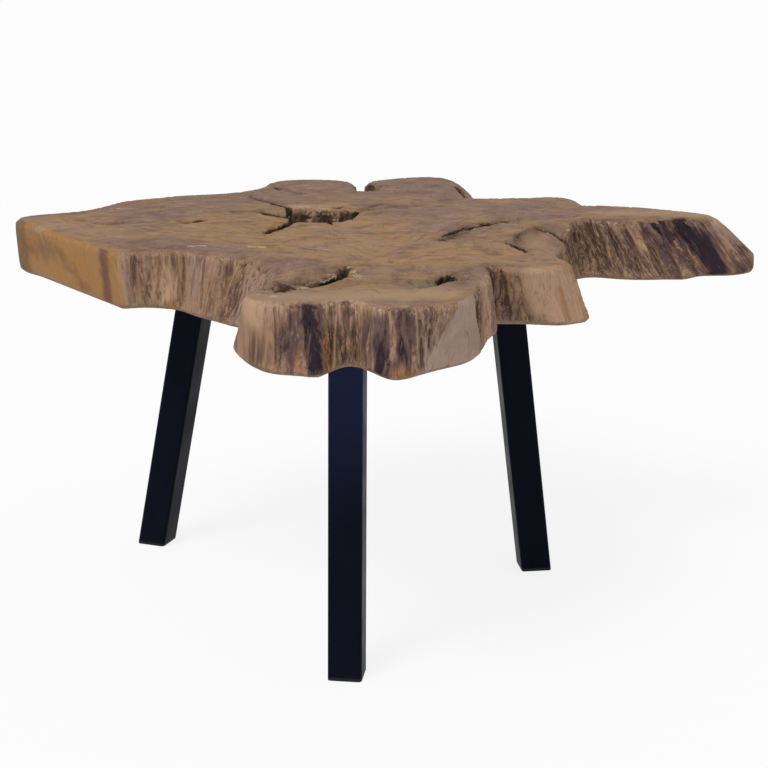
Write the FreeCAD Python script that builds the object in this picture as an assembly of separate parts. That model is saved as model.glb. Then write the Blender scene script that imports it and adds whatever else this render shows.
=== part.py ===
import FreeCAD, Part
import math
import os

os.makedirs("parts", exist_ok=True)

Vector = FreeCAD.Vector

# Rustic coffee table: one live-edge teak root slab on three splayed square-tube legs.
# Millimetres, +Z up, the viewer stands on the -Y side, the floor is z = 0.

# Slab
table_height = 450.0
slab_thickness = 70.0
slab_length = 912.0      # along x, over the live edge before its arrises are softened
slab_width = 859.0       # along y
top_arris = 5.0          # softened edge round the top, equal drop and inset
underside_arris = 6.0    # softened edge round the underside
belly_level = 22.0       # height above the underside at which a swollen wall stands out furthest

# The slab's live edge, clockwise from the left tip. A station holds the top edge's x and y, then how far
# the underside's edge stands out from it in x and y and, where the wall swells between the two, by how much.
# A stretch is one smooth curve; stretches meet at corners.
left_tip_and_back = [
    (-408, 30, 0, 26), (-428, 60, 0, 20), (-434, 82, 0, 14), (-421, 101, -3, 12), (-360, 137, -9, 10),
    (-340, 172, -10, 8), (-320, 208, -10, 8), (-286, 232, -8, 10), (-252, 251, -7, 11), (-208, 264, -6, 13),
    (-170, 290, -9, 11), (-150, 322, -10, 8), (-145, 352, -9, 6), (-130, 377, -9, 8), (-93, 388, -3, 12),
    (-52, 384, 1, 12), (-31, 369, 2, 12), (-22, 335, 2, 6), (-17, 288, 1, 4)]
heart_split_end = [
    (-17, 288, 1, 4), (-10, 287, -1, 4)]
right_back_lobe = [
    (-10, 287, -1, 4), (-9, 330, -1, 6), (-3, 376, -1, 12), (20, 392, -1, 13), (64, 413, 1, 13),
    (90, 409, 3, 12), (108, 390, 7, 8), (120, 354, 9, 4), (129, 298, 10, 2), (134, 230, 9, 10)]
back_shoulder = [
    (134, 230, 9, 10), (172, 232, 4, 12), (213, 239, 4, 13), (243, 240, 7, 12), (259, 226, 11, 8),
    (268, 202, 12, 4), (272, 174, 12, 10)]
right_arm = [
    (272, 174, 12, 10), (302, 173, 10, 11), (338, 160, 14, 12), (376, 138, 22, 14), (408, 118, 34, 14, 6),
    (425, 97, 53, 3, 9), (413, 81, 51, -7, 8), (391, 75, 45, -15, 3), (370, 88, 36, -32), (352, 84, 36, -44),
    (332, 67, 31, -30), (310, 65, 26, -31), (288, 65, 21, -28), (265, 77, 19, -31)]
right_bay = [
    (265, 77, 19, -31), (247, 50, 14, -6), (224, -14, 12, -8), (203, -80, 19, -12), (198, -125, 24, -15),
    (207, -160, 27, -8), (219, -188, 26, 3)]
right_front_lobe = [
    (219, -188, 26, 3), (203, -206, 24, 10), (182, -226, 24, 22), (160, -229, 20, 29), (129, -214, 5, 16)]
front_lobe = [
    (129, -214, 5, 16), (126, -250, 11, 8), (120, -296, 7, 20), (107, -354, 8, 18), (84, -398, 9, 22),
    (58, -413, 6, 10), (34, -414, 0, -19), (14, -406, -2, -18), (-3, -392, -1, -4), (-17, -385, -1, 2),
    (-33, -382, 0, -20), (-50, -385, 4, -38), (-74, -387, 3, -30), (-98, -391, -3, -14), (-115, -382, -7, 8),
    (-124, -362, -12, 26), (-118, -335, -21, 26), (-104, -290, -22, 22), (-104, -245, -18, 8),
    (-112, -206, -22, -18), (-127, -179, -22, -32)]
left_front_wing = [
    (-127, -179, -22, -32), (-147, -164, -15, -34), (-172, -156, -8, -21), (-191, -145, -9, -10),
    (-210, -130, -9, 0), (-229, -132, -9, 12), (-248, -143, -9, 26), (-270, -143, -4, 22),
    (-294, -135, 7, 19)]
sawn_left_end = [
    (-294, -135, 7, 19), (-408, 30, 0, 26)]
live_edge = [left_tip_and_back, heart_split_end, right_back_lobe, back_shoulder, right_arm, right_bay,
             right_front_lobe, front_lobe, left_front_wing, sawn_left_end]

# The heart void: a ragged pocket in the top where the root's arms part, and its depth.
heart_void_mouth = [
    (-100, 62), (-92, 49), (-62, 47), (-34, 52), (-20, 80), (-10, 142), (-32, 124), (-44, 146), (-66, 132),
    (-84, 148), (-101, 128)]
heart_void_floor = [
    (-94, 64), (-88, 56), (-62, 54), (-40, 58), (-30, 76), (-26, 92), (-38, 92), (-50, 100), (-66, 94),
    (-82, 100), (-94, 92)]
heart_void_depth = 42.0

# Drying splits in the top. A point holds x, y, half the split's width and its depth.
splits = {
    "heart split, back left": [(-98, 100, 7, 34), (-106, 162, 4, 26), (-140, 205, 3, 16), (-160, 250, 0, 0)],
    "heart split, left": [(-94, 70, 5, 34), (-128, 104, 6, 22), (-147, 140, 0, 0)],
    "heart split, front left": [(-94, 62, 5, 34), (-104, 22, 6, 22), (-117, -6, 8, 18), (-126, -36, 0, 0)],
    "heart split, front": [(-52, 54, 4, 26), (-46, 36, 2, 12), (-38, 10, 0, 0)],
    "right arm split": [(78, -56, 0, 0), (90, -30, 5, 14), (102, -2, 3, 10), (136, 30, 7, 18),
                        (172, 66, 0, 0)],
    "bay split": [(138, -58, 0, 0), (160, -86, 4, 12), (171, -124, 5, 20), (176, -144, 0, 0)],
    "front lobe split": [(-20, -208, 0, 0), (-29, -250, 8, 22), (-58, -298, 11, 20), (-86, -330, 10, 18),
                         (-96, -352, 0, 0)],
    "front lobe pocket": [(50, -330, 0, 0), (60, -312, 11, 14), (78, -278, 9, 22), (92, -248, 0, 0)],
    "left wing check": [(-202, 84, 0, 0), (-210, 62, 5, 12), (-222, 38, 0, 0)],
    "left tip check": [(-258, 60, 0, 0), (-280, 57, 3, 8), (-306, 48, 0, 0)],
    "back lobe check": [(-139, 342, 0, 0), (-129, 306, 4, 14), (-114, 276, 0, 0)],
    "back right check": [(112, 336, 0, 0), (119, 296, 4, 14), (122, 246, 0, 0)]}

# Hollows worn into the top. Each has its middle at x and y, its heading in degrees from the x axis, its
# length and half its width where it leaves the top, and its depth.
hollows = {
    "bay scoop": {"x": 216, "y": -38, "heading": 74, "length": 172, "half_width": 50, "depth": 20},
    "front lobe hollow": {"x": -56, "y": -278, "heading": 55, "length": 150, "half_width": 30, "depth": 7}}

# Furrows down the live edge. A furrow starts from the top outline's nearest point to its x and y, and has
# half a width and a depth. It runs out past both arrises.
furrow_length = 110.0
furrow_even_part = 0.4    # share of its length over which a furrow keeps its full width and depth
placed_furrows = [
    (-260, -144, 9, 6), (-232, -133, 5, 4), (-206, -132, 6, 5), (-181, -151, 5, 3.5), (-153, -162, 10, 7),
    (-108, -222, 8, 5), (-105, -268, 7, 5), (-116, -326, 7, 4), (-88, -390, 6, 4), (-62, -386, 6, 4.5),
    (-35, -382, 6, 5), (-12, -387, 5, 3.5), (20, -409, 7, 4), (50, -414, 5, 3.5), (109, -348, 10, 9),
    (123, -275, 6, 4), (141, -222, 8, 6), (155, -229, 5, 3.5), (178, -227, 4, 2.5), (200, -136, 8, 5),
    (246, 46, 9, 6), (288, 65, 7, 6), (307, 65, 5, 4), (327, 66, 7, 5), (346, 80, 6, 4.5), (368, 88, 6, 4),
    (300, 173, 7, 4), (343, 157, 8, 5), (388, 130, 6, 4)]
# Along the back they follow one another: the gap to the last one, half a width and a depth, over and over.
# A stretch of the back comes with the place along it that the first gap is counted from.
back_furrows = [(57, 8, 5), (34, 5, 4), (62, 9, 6.5), (41, 4, 3), (52, 7, 5)]
back_stretches = [(left_tip_and_back, 70), (right_back_lobe, 0), (back_shoulder, -20)]

# Legs: square steel tube, welded under a plate. A leg's place is its axis under the plate; splay is the lean
# from upright, heading is where the foot leans to, and turn is how tube and plate are turned about Z.
tube_side = 38.0
tube_wall = 2.0
tube_corner_radius = 4.0
legs = {
    "left": {"x": -216.0, "y": 137.0, "splay": 11.3, "heading": 161.0, "turn": 159.7},
    "front": {"x": -23.0, "y": -219.5, "splay": 7.5, "heading": 267.7, "turn": 262.4},
    "right": {"x": 163.5, "y": 60.0, "splay": 6.9, "heading": 9.0, "turn": 7.7}}

plate_side = 110.0
plate_thickness = 5.0
plate_corner_radius = 12.0
plate_hole_inset = 15.0   # hole centre from the plate's edges

weld_leg = 4.0

# Foot cap: a moulded plug with a thin sole under the tube
cap_sole = 4.0
cap_sole_edge = 1.0
cap_plug_length = 20.0
cap_plug_clearance = 0.15

# Countersunk wood screws
screw_shank = 5.0
screw_head = 9.5
screw_reach = 28.0        # how far the tip goes into the slab
screw_tip = 6.0
screw_hole_clearance = 0.25
pilot_clearance = 0.1

slab_underside = table_height - slab_thickness
plate_underside = slab_underside - plate_thickness
cutter_rise = 1.0         # how far a cutter stands out of the face that it cuts
furrow_rise = 2.0         # the same for a furrow's cutter, over the wall's curve
hollow_overrun = 1.3      # how far a hollow's cutter is carried on past its ends


def extent(values):
    return max(values) - min(values)


# The live edge, its furrows, and the top's hollows and splits are drawn at their own size, and the drawing
# is stretched to the slab's length and width.
stations = [station for stretch in live_edge for station in stretch]
drawn_length = extent([station[0] + share * station[2] for station in stations for share in (0, 1)])
drawn_width = extent([station[1] + share * station[3] for station in stations for share in (0, 1)])


def plan(x, y, z):
    return Vector(x * slab_length / drawn_length, y * slab_width / drawn_width, z)


def inward(before, here, after):
    # Unit step into the slab at a station, lengthened at a corner so that both sides move in alike.
    way_in = (here - before).normalize()
    way_out = (after - here).normalize()
    mean = (way_in + way_out).normalize()
    corner = max(mean.dot(way_out), 0.6)
    return Vector(mean.y, -mean.x, 0) / corner


def edge_ring(level, share, inset, swollen=False):
    # One loop of edges round the slab at a level; share runs from 0 on the top outline to 1 on the lower one.
    loop = []
    insets = []
    for stretch in live_edge:
        for x, y, flare_x, flare_y, *belly in stretch[:-1]:
            loop.append(plan(x + share * flare_x, y + share * flare_y, level))
            insets.append(inset - sum(belly) if swollen else inset)
    count = len(loop)
    moved = []
    for i in range(count):
        step = inward(loop[i - 1], loop[i], loop[(i + 1) % count])
        moved.append(loop[i] + step * insets[i])
    edges = []
    first = 0
    for stretch in live_edge:
        points = [moved[(first + i) % count] for i in range(len(stretch))]
        edges.append(stretch_edge(points, stretch))
        first += len(stretch) - 1
    return edges


def stretch_edge(points, stretch):
    if len(points) == 2:
        return Part.LineSegment(points[0], points[1]).toShape()
    # Every ring takes the top outline's spacing, so that the rulings run from station to station.
    along = [0.0]
    for here, after in zip(stretch, stretch[1:]):
        along.append(along[-1] + math.hypot(after[0] - here[0], after[1] - here[1]))
    curve = Part.BSplineCurve()
    curve.interpolate(Points=points, Parameters=along)
    return curve.toShape()


def solid_from(faces):
    shell = Part.makeShell(faces)
    shell.sewShape()
    solid = Part.makeSolid(shell)
    if solid.Volume < 0:
        solid.reverse()
    return solid


def raw_slab():
    # Sides ruled between five rings: underside, its arris, the belly, the top's arris and the top.
    underside_share = 1 - underside_arris / slab_thickness
    belly_share = 1 - belly_level / slab_thickness
    top_share = top_arris / slab_thickness
    rings = [
        edge_ring(slab_underside, 1.0, underside_arris),
        edge_ring(slab_underside + underside_arris, underside_share, 0.0),
        edge_ring(slab_underside + belly_level, belly_share, 0.0, swollen=True),
        edge_ring(table_height - top_arris, top_share, 0.0),
        edge_ring(table_height, 0.0, top_arris)]
    faces = [Part.Face(Part.Wire(rings[0])), Part.Face(Part.Wire(rings[-1]))]
    for lower, upper in zip(rings, rings[1:]):
        for low_edge, high_edge in zip(lower, upper):
            faces.append(Part.makeRuledSurface(low_edge, high_edge))
    return solid_from(faces)


def polygon(points):
    return Part.makePolygon(points + points[:1])


def heart_void():
    mouth = [plan(x, y, table_height + cutter_rise) for x, y in heart_void_mouth]
    floor = [plan(x, y, table_height - heart_void_depth) for x, y in heart_void_floor]
    return Part.makeLoft([polygon(mouth), polygon(floor)], True, True)


def groove(lefts, floors, rights):
    # A V-shaped cutter through three rows of points; an end where the rows meet runs out to nothing.
    faces = []
    for one, other in ((lefts, floors), (floors, rights)):
        for i in range(len(floors) - 1):
            for corners in ((one[i], one[i + 1], other[i + 1]), (one[i], other[i + 1], other[i])):
                add_triangle(faces, corners)
    faces.append(Part.Face(polygon(without_repeats(lefts + rights[::-1]))))
    add_triangle(faces, (lefts[0], floors[0], rights[0]))
    return solid_from(faces)


def split_cutter(route):
    # A groove along the route, as wide and deep at each point as the point says.
    places = [plan(x, y, table_height + cutter_rise) for x, y, half_width, depth in route]
    lefts = []
    rights = []
    floors = []
    for i, (x, y, half_width, depth) in enumerate(route):
        before = places[max(i - 1, 0)]
        after = places[i + 1] if i + 1 < len(places) else places[i]
        along = (after - before).normalize()
        side = plan(-along.y * half_width, along.x * half_width, 0)
        lefts.append(places[i] + side)
        rights.append(places[i] - side)
        floors.append(places[i] - Vector(0, 0, depth + cutter_rise if depth else 0))
    return groove(lefts, floors, rights)


def without_repeats(points):
    kept = []
    for point in points:
        if not kept or point.distanceToPoint(kept[-1]) > 1e-6:
            kept.append(point)
    if kept[0].distanceToPoint(kept[-1]) < 1e-6:
        kept.pop()
    return kept


def add_triangle(faces, corners):
    corners = without_repeats(list(corners))
    if len(corners) == 3:
        faces.append(Part.Face(polygon(corners)))


def hollow_cutter(hollow):
    # A bent round bar that lies on the top and sinks into it as far as the hollow is deep.
    depth = hollow["depth"]
    heading = math.radians(hollow["heading"])
    along = plan(math.cos(heading), math.sin(heading), 0)
    across = plan(-math.sin(heading), math.cos(heading), 0)
    half_length = hollow["length"] / 2 * along.Length
    half_width = hollow["half_width"] * across.Length
    bar_radius = (half_width ** 2 + depth ** 2) / (2 * depth)
    sweep = (half_length ** 2 + depth ** 2) / (2 * depth)
    half_turn = math.degrees(math.asin(half_length / sweep)) * hollow_overrun
    origin = Vector(0, 0, 0)
    bar = Part.makeTorus(sweep - bar_radius, bar_radius, origin, Vector(0, 0, 1), -180, 180, 2 * half_turn)
    bar.rotate(origin, Vector(0, 0, 1), -half_turn)
    turn = FreeCAD.Rotation(Vector(0, 0, -1), along, origin, "XYZ")
    middle = plan(hollow["x"], hollow["y"], table_height + sweep - depth)
    bar.Placement = FreeCAD.Placement(middle, turn).multiply(bar.Placement)
    return bar


def furrow_cutter(top_edge, low_edge, parameter, half_width, depth):
    # A groove along the ruling of the wall that starts at this parameter of the stretch's edges.
    upper = top_edge.valueAt(parameter)
    lower = low_edge.valueAt(parameter)
    along = (upper - lower).normalize()
    square = along.cross(top_edge.tangentAt(parameter)).normalize()
    out = plan(*square)
    side = plan(*along.cross(square))
    middle = (upper + lower) / 2 + out * furrow_rise
    lefts = []
    rights = []
    floors = []
    for step, share in ((-0.5, 0), (-0.5 * furrow_even_part, 1), (0.5 * furrow_even_part, 1), (0.5, 0)):
        place = middle + along * (step * furrow_length)
        lefts.append(place + side * (half_width * share))
        rights.append(place - side * (half_width * share))
        floors.append(place - out * ((depth + furrow_rise) * share))
    return groove(lefts, floors, rights)


def furrow_cutters():
    top_edges = edge_ring(table_height, 0.0, 0.0)
    low_edges = edge_ring(slab_underside, 1.0, 0.0)
    cutters = []
    for x, y, half_width, depth in placed_furrows:
        start = Part.Vertex(plan(x, y, table_height))
        gaps = [edge.distToShape(start)[0] for edge in top_edges]
        nearest = gaps.index(min(gaps))
        parameter = top_edges[nearest].Curve.parameter(start.Point)
        cutters.append(furrow_cutter(top_edges[nearest], low_edges[nearest], parameter, half_width, depth))
    for stretch, place in back_stretches:
        index = live_edge.index(stretch)
        edge = top_edges[index]
        turn = 0
        gap, half_width, depth = back_furrows[0]
        while place + gap + half_width < edge.Length:
            place += gap
            parameter = edge.getParameterByLength(place)
            cutters.append(furrow_cutter(edge, low_edges[index], parameter, half_width, depth))
            turn += 1
            gap, half_width, depth = back_furrows[turn % len(back_furrows)]
    return cutters


def rounded_square(side, radius):
    # A square outline on z = 0 with rounded corners, centred on the origin.
    half = side / 2
    straight = half - radius
    bend = radius * math.sqrt(0.5)
    edges = []
    for quarter in range(4):
        turn = FreeCAD.Rotation(Vector(0, 0, 1), 90 * quarter)
        start = turn.multVec(Vector(half, -straight, 0))
        end = turn.multVec(Vector(half, straight, 0))
        middle = turn.multVec(Vector(straight + bend, straight + bend, 0))
        after = turn.multVec(Vector(straight, half, 0))
        edges.append(Part.LineSegment(start, end).toShape())
        edges.append(Part.Arc(end, middle, after).toShape())
    return Part.Wire(edges)


def leg_top(leg):
    return plan(leg["x"], leg["y"], plate_underside)


def leg_axis(leg):
    lean = math.radians(leg["splay"])
    heading = math.radians(leg["heading"])
    across = math.sin(lean)
    return Vector(across * math.cos(heading), across * math.sin(heading), -math.cos(lean))


def leg_bar(leg, side, radius, low, high):
    # A square bar along the leg's axis, cut level at two heights.
    axis = leg_axis(leg)
    length = (table_height + 2 * tube_side) / -axis.z
    profile = Part.Face(rounded_square(side, radius))
    profile.rotate(Vector(0, 0, 0), Vector(0, 0, 1), leg["turn"])
    tilt = FreeCAD.Rotation(Vector(0, 0, -1), axis)
    profile.Placement = FreeCAD.Placement(Vector(0, 0, 0), tilt).multiply(profile.Placement)
    start = leg_top(leg) - axis * 2 * tube_side
    profile.translate(start)
    bar = profile.extrude(axis * (length + 2 * tube_side))
    reach = table_height
    foot = leg_top(leg)
    slice_box = Part.makeBox(2 * reach, 2 * reach, high - low, Vector(foot.x - reach, foot.y - reach, low))
    return bar.common(slice_box)


def leg_tube(leg):
    outer = leg_bar(leg, tube_side, tube_corner_radius, cap_sole, plate_underside)
    bore_side = tube_side - 2 * tube_wall
    bore = leg_bar(leg, bore_side, tube_corner_radius - tube_wall, cap_sole, plate_underside)
    return outer.cut(bore)


def foot_cap(leg):
    sole = leg_bar(leg, tube_side, tube_corner_radius, 0, cap_sole)
    rim = [edge for edge in sole.Edges if edge.BoundBox.ZMax < cap_sole_edge / 2]
    sole = sole.makeFillet(cap_sole_edge, rim)
    plug_side = tube_side - 2 * (tube_wall + cap_plug_clearance)
    plug_radius = tube_corner_radius - tube_wall - cap_plug_clearance
    plug = leg_bar(leg, plug_side, plug_radius, cap_sole, cap_sole + cap_plug_length)
    return sole.fuse(plug).removeSplitter()


def hole_places(leg):
    reach = plate_side / 2 - plate_hole_inset
    turn = FreeCAD.Rotation(Vector(0, 0, 1), leg["turn"])
    corners = [(-reach, -reach), (reach, -reach), (reach, reach), (-reach, reach)]
    return [leg_top(leg) + turn.multVec(Vector(x, y, 0)) for x, y in corners]


def turned(profile):
    # A solid of revolution about Z from a closed outline of (radius, height) points.
    outline = [Vector(radius, 0, height) for radius, height in profile]
    return Part.Face(polygon(outline)).revolve(Vector(0, 0, 0), Vector(0, 0, 1), 360)


def screw_form(clearance, tip_room):
    # Countersunk head flush with z = 0 below, straight shank, pointed tip; clearance grows it all round.
    head = screw_head / 2 + clearance
    shank = screw_shank / 2 + clearance
    cone = head - shank
    length = plate_thickness + screw_reach
    return [(0, 0), (head, 0), (shank, cone), (shank, length - screw_tip), (0, length + tip_room)]


def screws(leg):
    one = turned(screw_form(0, 0))
    group = []
    for place in hole_places(leg):
        screw = one.copy()
        screw.translate(place)
        group.append(screw)
    return group


def mounting_plate(leg):
    plate = Part.Face(rounded_square(plate_side, plate_corner_radius)).extrude(Vector(0, 0, plate_thickness))
    plate.rotate(Vector(0, 0, 0), Vector(0, 0, 1), leg["turn"])
    plate.translate(leg_top(leg))
    hole = turned(screw_form(screw_hole_clearance, screw_hole_clearance))
    for place in hole_places(leg):
        drill = hole.copy()
        drill.translate(place)
        plate = plate.cut(drill)
    return plate


def weld_bead(leg):
    # A fillet weld all round the tube: full width on the plate, running out down the tube.
    level = plate_underside - weld_leg
    core = leg_bar(leg, tube_side, tube_corner_radius, level, plate_underside)
    wide_side = tube_side + 2 * weld_leg
    wide = leg_bar(leg, wide_side, tube_corner_radius + weld_leg, level, plate_underside)
    low_face = min(core.Faces, key=lambda face: face.CenterOfMass.z)
    high_face = max(wide.Faces, key=lambda face: face.CenterOfMass.z)
    flare = Part.makeLoft([low_face.OuterWire, high_face.OuterWire], True, True)
    return flare.cut(core)


def teak_slab():
    slab = raw_slab()
    cutters = [heart_void()]
    cutters.extend(split_cutter(route) for route in splits.values())
    cutters.extend(furrow_cutters())
    cutters.extend(hollow_cutter(hollow) for hollow in hollows.values())
    pilot = turned(screw_form(pilot_clearance, pilot_clearance))
    for leg in legs.values():
        for place in hole_places(leg):
            drill = pilot.copy()
            drill.translate(place)
            cutters.append(drill)
    for cutter in cutters:
        slab = slab.cut(cutter)
    return slab


def save(name, shape):
    placed = shape.translated(to_origin)
    placed.exportStep("parts/" + name + ".step")
    print(name, "solids", len(placed.Solids), "valid", placed.isValid(), "volume", round(placed.Volume))


slab = teak_slab()
# The plan above is drawn from the slab's heart; the table's origin is on the floor under its middle.
plan_box = slab.optimalBoundingBox()
to_origin = Vector(-plan_box.Center.x, -plan_box.Center.y, 0)
print("plan drawing moved by", round(to_origin.x, 2), round(to_origin.y, 2))
save("teak_slab", slab)
for side, leg in legs.items():
    save(side + "_leg_tube", leg_tube(leg))
    save(side + "_leg_plate", mounting_plate(leg))
    save(side + "_leg_weld", weld_bead(leg))
    save(side + "_foot_cap", foot_cap(leg))
    save(side + "_plate_screws", Part.makeCompound(screws(leg)))
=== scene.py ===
import math
import bmesh
import bpy
import numpy as np
from mathutils import Matrix, Vector, geometry


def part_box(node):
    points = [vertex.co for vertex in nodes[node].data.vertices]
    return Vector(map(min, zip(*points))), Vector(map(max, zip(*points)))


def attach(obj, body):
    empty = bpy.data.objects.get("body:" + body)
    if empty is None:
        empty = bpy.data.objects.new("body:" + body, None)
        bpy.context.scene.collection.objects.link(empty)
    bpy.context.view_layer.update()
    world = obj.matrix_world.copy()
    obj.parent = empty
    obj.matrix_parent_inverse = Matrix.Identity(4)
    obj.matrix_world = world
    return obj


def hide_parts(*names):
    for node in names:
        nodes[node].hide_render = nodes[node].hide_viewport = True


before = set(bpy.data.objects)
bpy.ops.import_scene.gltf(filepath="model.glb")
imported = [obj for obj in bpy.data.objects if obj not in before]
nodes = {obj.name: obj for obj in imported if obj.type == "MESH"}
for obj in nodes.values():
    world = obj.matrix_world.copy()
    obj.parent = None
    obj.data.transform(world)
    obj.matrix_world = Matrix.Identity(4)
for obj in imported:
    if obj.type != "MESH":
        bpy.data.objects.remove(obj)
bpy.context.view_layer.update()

scene = bpy.context.scene


# Node trees, for finishes and for geometry alike

class Wire:
    # one output socket; arithmetic on it adds Math nodes to its tree
    def __init__(self, graph, made, socket):
        self.graph = graph
        self.made = made
        self.socket = socket

    def out(self, name):
        return Wire(self.graph, self.made, self.made.outputs[name])

    def __add__(self, other):
        return self.graph.maths("ADD", self, other)

    def __sub__(self, other):
        return self.graph.maths("SUBTRACT", self, other)

    def __rsub__(self, other):
        return self.graph.maths("SUBTRACT", other, self)

    def __mul__(self, other):
        return self.graph.maths("MULTIPLY", self, other)

    def __truediv__(self, other):
        return self.graph.maths("DIVIDE", self, other)

    def __rtruediv__(self, other):
        return self.graph.maths("DIVIDE", other, self)

    def __abs__(self):
        return self.graph.maths("ABSOLUTE", self)

    __radd__ = __add__
    __rmul__ = __mul__


class Graph:
    # a node tree that is written as expressions
    def __init__(self, tree):
        self.tree = tree
        tree.nodes.clear()

    def node(self, kind, settings=None, sockets=None, out=0):
        made = self.tree.nodes.new(kind)
        for name, value in (settings or {}).items():
            setattr(made, name, value)
        for name, value in (sockets or {}).items():
            socket = made.inputs[name]
            if isinstance(value, Wire):
                self.tree.links.new(value.socket, socket)
            elif socket.type == "RGBA":
                socket.default_value = (*value, 1)
            else:
                socket.default_value = value
        if not made.outputs:
            return None
        return Wire(self, made, made.outputs[out])

    def maths(self, operation, *values):
        return self.node("ShaderNodeMath", {"operation": operation}, dict(enumerate(values)))

    def ease(self, value, low, high):
        # 0 at low, 1 at high, smooth between them; low may be the larger one
        settings = {"interpolation_type": "SMOOTHSTEP"}
        sockets = {"Value": value, "From Min": low, "From Max": high}
        return self.node("ShaderNodeMapRange", settings, sockets)

    def tint(self, factor, first, second):
        # a colour between two colours
        return self.node("ShaderNodeMix", {"data_type": "RGBA"}, {0: factor, 6: first, 7: second}, out=2)

    def coats(self, colour, layers):
        # lays colours over a colour, each with its own share
        for share, over in layers:
            colour = self.tint(share, colour, over)
        return colour

    def vectors(self, operation, *values):
        return self.node("ShaderNodeVectorMath", {"operation": operation}, dict(enumerate(values)))

    def measured(self, operation, first, second):
        # a number from two vectors
        return self.node("ShaderNodeVectorMath", {"operation": operation}, {0: first, 1: second}, out=1)

    def scaled(self, vector, factor):
        sockets = {"Vector": vector, "Scale": factor}
        return self.node("ShaderNodeVectorMath", {"operation": "SCALE"}, sockets)

    def join(self, x, y, z):
        return self.node("ShaderNodeCombineXYZ", {}, {"X": x, "Y": y, "Z": z})

    def parts(self, vector):
        split = self.node("ShaderNodeSeparateXYZ", {}, {"Vector": vector})
        return split.out("X"), split.out("Y"), split.out("Z")

    def noise(self, vector, width, detail=2.0, roughness=0.5):
        # width is the size of one blotch, in metres
        sockets = {"Vector": vector, "Scale": 1 / width, "Detail": detail, "Roughness": roughness}
        return self.node("ShaderNodeTexNoise", {}, sockets)

    def cells(self, vector, width):
        # a colour for each cell of a pattern
        return self.node("ShaderNodeTexVoronoi", {}, {"Vector": vector, "Scale": 1 / width}, out="Color")


class Finish(Graph):
    # a material and its tree, closed by one Principled shader
    def __init__(self, name):
        self.material = bpy.data.materials.new(name)
        self.material.use_nodes = True
        super().__init__(self.material.node_tree)

    def place(self):
        return self.node("ShaderNodeTexCoord", out="Object")

    def mark(self, name, out="Fac"):
        return self.node("ShaderNodeAttribute", {"attribute_name": name}, out=out)

    def stroke(self, plan, path, radius):
        # 1 on a path that is given in plan, 0 from its radius outwards
        nearest = 1.0             # farther off than any stroke reaches
        for start, end in zip(path, path[1:]):
            first = Vector((*start, 0))
            run = Vector((*end, 0)) - first
            away = self.vectors("SUBTRACT", plan, first)
            along = self.measured("DOT_PRODUCT", away, run / run.length_squared)
            along = self.maths("MINIMUM", self.maths("MAXIMUM", along, 0.0), 1.0)
            gap = self.measured("DISTANCE", away, self.scaled(run, along))
            nearest = self.maths("MINIMUM", nearest, gap)
        return self.ease(nearest, radius, 0.0)

    def strokes(self, plan, strokes, width=1.0):
        # the strongest of several strokes, whose radii are all multiplied by width
        strongest = 0.0
        for path, radius, strength in strokes:
            touch = self.stroke(plan, path, radius * width) * strength
            strongest = self.maths("MAXIMUM", strongest, touch)
        return strongest

    def bump(self, height, strength, distance):
        sockets = {"Height": height, "Strength": strength, "Distance": distance}
        return self.node("ShaderNodeBump", {}, sockets)

    def close(self, sockets):
        shader = self.node("ShaderNodeBsdfPrincipled", {}, sockets)
        self.node("ShaderNodeOutputMaterial", {}, {"Surface": shader})
        return self.material


class Growth(Graph):
    # a Geometry Nodes tree with named inputs
    def __init__(self, name, inputs):
        group = bpy.data.node_groups.new(name, "GeometryNodeTree")
        super().__init__(group)
        group.interface.new_socket("Geometry", in_out="OUTPUT", socket_type="NodeSocketGeometry")
        group.interface.new_socket("Geometry", in_out="INPUT", socket_type="NodeSocketGeometry")
        for label, kind in inputs.items():
            group.interface.new_socket(label, in_out="INPUT", socket_type="NodeSocket" + kind)
        self.given = self.node("NodeGroupInput").out

    def read(self, name, kind):
        return self.node("GeometryNodeInputNamedAttribute", {"data_type": kind}, {"Name": name})

    def keep(self, mesh, name, kind, value):
        settings = {"data_type": kind, "domain": "POINT"}
        sockets = {"Geometry": mesh, "Name": name, "Value": value}
        return self.node("GeometryNodeStoreNamedAttribute", settings, sockets)

    def close(self, mesh, material):
        real = self.node("GeometryNodeRealizeInstances", {}, {"Geometry": mesh})
        coated = self.node("GeometryNodeSetMaterial", {}, {"Geometry": real, "Material": material})
        self.node("NodeGroupOutput", {}, {"Geometry": coated})
        return self.tree


def newObject(name, mesh):
    made = bpy.data.objects.new(name, mesh)
    scene.collection.objects.link(made)
    return made


def applied(piece):
    # works the piece's modifiers into a plain mesh
    depsgraph = bpy.context.evaluated_depsgraph_get()
    shaped = piece.evaluated_get(depsgraph)
    piece.data = bpy.data.meshes.new_from_object(shaped, preserve_all_data_layers=True, depsgraph=depsgraph)
    piece.modifiers.clear()


def grown(piece, tree, values):
    # runs a Geometry Nodes tree on a piece and keeps the result as its mesh
    modifier = piece.modifiers.new(tree.name, "NODES")
    modifier.node_group = tree
    for item in tree.interface.items_tree:
        if item.in_out == "INPUT" and item.name in values:
            modifier[item.identifier] = values[item.name]
    applied(piece)


def joinedCopy(node):
    # a CAD node's mesh with its loose triangles joined
    joined = bmesh.new()
    joined.from_mesh(node.data)
    bmesh.ops.remove_doubles(joined, verts=joined.verts, dist=1e-6)
    return joined


def corners(mesh):
    found = np.zeros(len(mesh.vertices) * 3, np.float32)
    mesh.vertices.foreach_get("co", found)
    return found.reshape(-1, 3).astype(float)


def setMark(mesh, name, values):
    mark = mesh.attributes.new(name, "FLOAT", "POINT")
    mark.data.foreach_set("value", values.astype(np.float32))


def setArrow(mesh, name, values):
    mark = mesh.attributes.new(name, "FLOAT_VECTOR", "POINT")
    mark.data.foreach_set("vector", values.astype(np.float32).ravel())


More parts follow.
